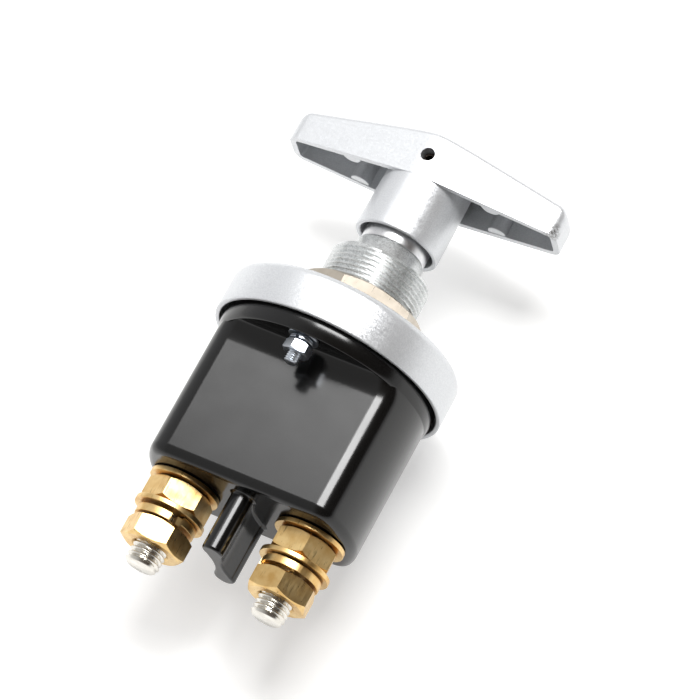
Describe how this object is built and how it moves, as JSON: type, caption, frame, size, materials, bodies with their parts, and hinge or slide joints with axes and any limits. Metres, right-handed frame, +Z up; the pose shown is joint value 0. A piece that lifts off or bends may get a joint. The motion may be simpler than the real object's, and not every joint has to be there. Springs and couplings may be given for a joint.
{
  "type": "battery master switch",
  "caption": "Panel battery switch: T-handle on a threaded boss with nut, round flange, D-sided housing, studs with nuts and a barrier rib.",
  "frame": {"origin": "on the switch's axis, at the flange's face that meets the panel", "axes": "+Y along the switch's axis from the panel into the boat, towards the terminals; the handle is at -Y; +Z up, square to the housing's upper flat; +X across, along the T-handle at OFF"},
  "size_m": [0.085, 0.147, 0.07],
  "materials": {
    "silver_paint": "silver metallic paint with a fine sparkle",
    "cast_zinc": "machined die casting, matte",
    "nickel": "bright nickel plate",
    "zinc_plate": "bright zinc plate",
    "brass": "bright turned brass",
    "tin_plate": "tinned copper, satin",
    "steel": "plain steel",
    "copper": "plain copper bar",
    "contact_silver": "silver contact facing",
    "phenolic": "glossy black phenolic moulding",
    "nylon": "natural moulded nylon",
    "rubber": "black nitrile rubber"
  },
  "bodies": {
    "case": {"flange_cover": "silver_paint", "threaded_boss": "cast_zinc", "panel_nut": "nickel", "spindle_bush": "nickel", "cover_gasket": "rubber", "housing": "phenolic", "terminal_stud_a": "tin_plate", "terminal_stud_b": "tin_plate", "stud_tip_a": "contact_silver", "stud_tip_b": "contact_silver", "base_washer_a": "brass", "base_washer_b": "brass", "inner_nut_a": "brass", "inner_nut_b": "brass", "lug_washer_a": "brass", "lug_washer_b": "brass", "spring_washer_a": "brass", "spring_washer_b": "brass", "outer_nut_a": "brass", "outer_nut_b": "brass", "cover_screw_a": "zinc_plate", "cover_screw_b": "zinc_plate", "screw_washer_a": "zinc_plate", "screw_washer_b": "zinc_plate", "screw_lock_washer_a": "zinc_plate", "screw_lock_washer_b": "zinc_plate", "screw_nut_a": "zinc_plate", "screw_nut_b": "zinc_plate", "return_spring": "steel"},
    "handle": {"t_handle": "silver_paint", "handle_pin": "steel", "spindle": "steel", "spindle_seal": "rubber", "cam_rotor": "nylon", "cam_clip": "steel"},
    "carrier": {"contact_carrier": "nylon", "contact_spring": "steel", "contact_bridge": "copper", "bridge_clip": "steel", "contact_tip_a": "contact_silver", "contact_tip_b": "contact_silver"}
  },
  "joints": [
    {"name": "handle_turn", "type": "hinge", "parent": "case", "child": "handle", "pos_m": [0, 0, 0], "axis": [0, 1, 0], "range_deg": [0, 90]},
    {"name": "carrier_slide", "type": "slide", "parent": "case", "child": "carrier", "axis": [0, 1, 0], "range_m": [0, 0.004], "deforming": ["return_spring"]}
  ],
  "couplings": [
    {"joint": "carrier_slide", "follows": "handle_turn", "m_per_rad": 0.0025464}
  ]
}
